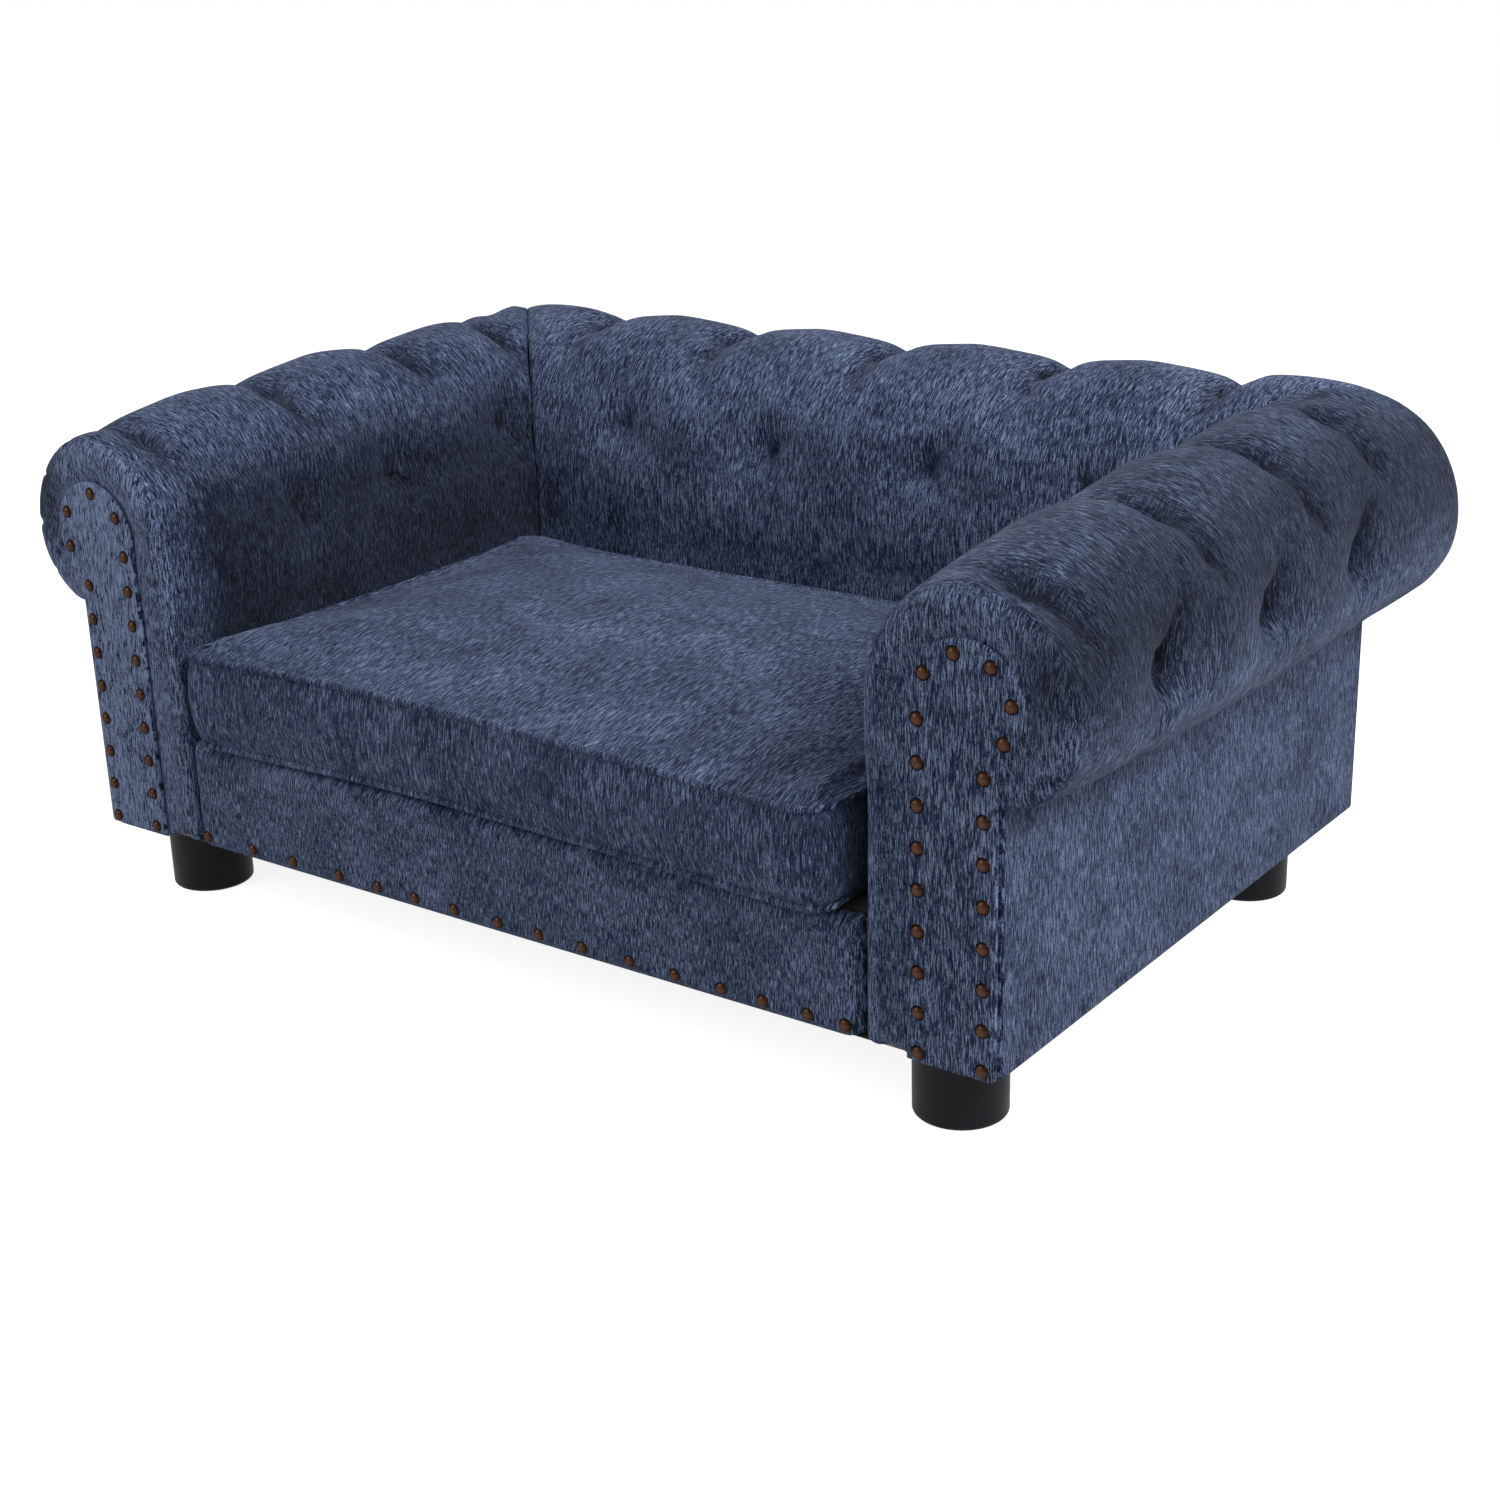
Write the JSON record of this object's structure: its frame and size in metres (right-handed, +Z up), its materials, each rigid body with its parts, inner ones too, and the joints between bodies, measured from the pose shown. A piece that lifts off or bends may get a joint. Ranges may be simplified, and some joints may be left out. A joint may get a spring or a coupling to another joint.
{
  "type": "dog sofa bed",
  "caption": "Small tufted pet sofa with rolled arms and back, a loose seat cushion, nail trim and round screw-in feet.",
  "frame": {"origin": "on the floor under the middle of the whole sofa", "axes": "+X along the seat towards the sofa's left-hand side as one sits, which is the picture's right, -Y towards the front, +Z up"},
  "size_m": [1.0124, 0.6642, 0.4212],
  "materials": {
    "blue_chenille": "matt chenille cloth, dark blue with lighter slubs",
    "frame_wood": "plain sawn pine and plywood",
    "black_lining": "thin matt lining cloth",
    "foam": "open-cell cushion foam",
    "zip_cloth": "woven zip tape with moulded teeth",
    "antique_bronze": "aged bronze, softly shining",
    "black_plastic": "satin black moulding",
    "zinc_steel": "bright zinc-plated steel"
  },
  "bodies": {
    "sofa": {"back_bottom_rail": "frame_wood", "back_buttons": "blue_chenille", "back_inner_board": "frame_wood", "back_pad": "blue_chenille", "back_panel": "blue_chenille", "back_top_rail": "frame_wood", "corner_blocks": "frame_wood", "cross_slats": "frame_wood", "deck_board": "frame_wood", "deck_pad": "black_lining", "dust_cover": "black_lining", "foot_plates": "zinc_steel", "front_border": "blue_chenille", "front_rail": "frame_wood", "joining_bolts": "zinc_steel", "joining_nuts": "zinc_steel", "left_arm_buttons": "blue_chenille", "left_arm_nails": "antique_bronze", "left_arm_pad": "blue_chenille", "left_back_post": "frame_wood", "left_bottom_board": "frame_wood", "left_facing": "blue_chenille", "left_inner_board": "frame_wood", "left_rear_board": "frame_wood", "left_scroll_board": "frame_wood", "left_side_panel": "blue_chenille", "left_side_rail": "frame_wood", "left_top_rail": "frame_wood", "plate_screws": "zinc_steel", "rail_nails": "antique_bronze", "rear_rail": "frame_wood", "right_arm_buttons": "blue_chenille", "right_arm_nails": "antique_bronze", "right_arm_pad": "blue_chenille", "right_back_post": "frame_wood", "right_bottom_board": "frame_wood", "right_facing": "blue_chenille", "right_inner_board": "frame_wood", "right_rear_board": "frame_wood", "right_scroll_board": "frame_wood", "right_side_panel": "blue_chenille", "right_side_rail": "frame_wood", "right_top_rail": "frame_wood"},
    "cushion": {"cushion_cover": "blue_chenille", "cushion_foam": "foam", "cushion_top_welt": "blue_chenille", "cushion_bottom_welt": "blue_chenille", "zip_tape": "zip_cloth"},
    "slider": {"zip_slider": "zinc_steel"},
    "pull": {"zip_pull": "zinc_steel"},
    "front_right_screw_foot": {"front_right_foot": "black_plastic", "front_right_stud": "zinc_steel"},
    "front_left_screw_foot": {"front_left_foot": "black_plastic", "front_left_stud": "zinc_steel"},
    "rear_right_screw_foot": {"rear_right_foot": "black_plastic", "rear_right_stud": "zinc_steel"},
    "rear_left_screw_foot": {"rear_left_foot": "black_plastic", "rear_left_stud": "zinc_steel"}
  },
  "joints": [
    {"name": "cushion_lift", "type": "slide", "parent": "sofa", "child": "cushion", "axis": [0, 0, 1], "range_m": [0, 0.3]},
    {"name": "zip_slide", "type": "slide", "parent": "cushion", "child": "slider", "axis": [1, 0, 0], "range_m": [-0.37, 0]},
    {"name": "zip_pull_flip", "type": "hinge", "parent": "slider", "child": "pull", "pos_m": [0.188, 0.10245, 0.1916], "axis": [0, 0, 1], "range_deg": [0, 180]},
    {"name": "front_right_foot_turn", "type": "hinge", "parent": "sofa", "child": "front_right_screw_foot", "pos_m": [0.379, -0.2632, 0.03], "axis": [0, 0, 1], "continuous": true},
    {"name": "front_left_foot_turn", "type": "hinge", "parent": "sofa", "child": "front_left_screw_foot", "pos_m": [-0.379, -0.2632, 0.03], "axis": [0, 0, 1], "continuous": true},
    {"name": "rear_right_foot_turn", "type": "hinge", "parent": "sofa", "child": "rear_right_screw_foot", "pos_m": [0.379, 0.192, 0.03], "axis": [0, 0, 1], "continuous": true},
    {"name": "rear_left_foot_turn", "type": "hinge", "parent": "sofa", "child": "rear_left_screw_foot", "pos_m": [-0.379, 0.192, 0.03], "axis": [0, 0, 1], "continuous": true}
  ]
}
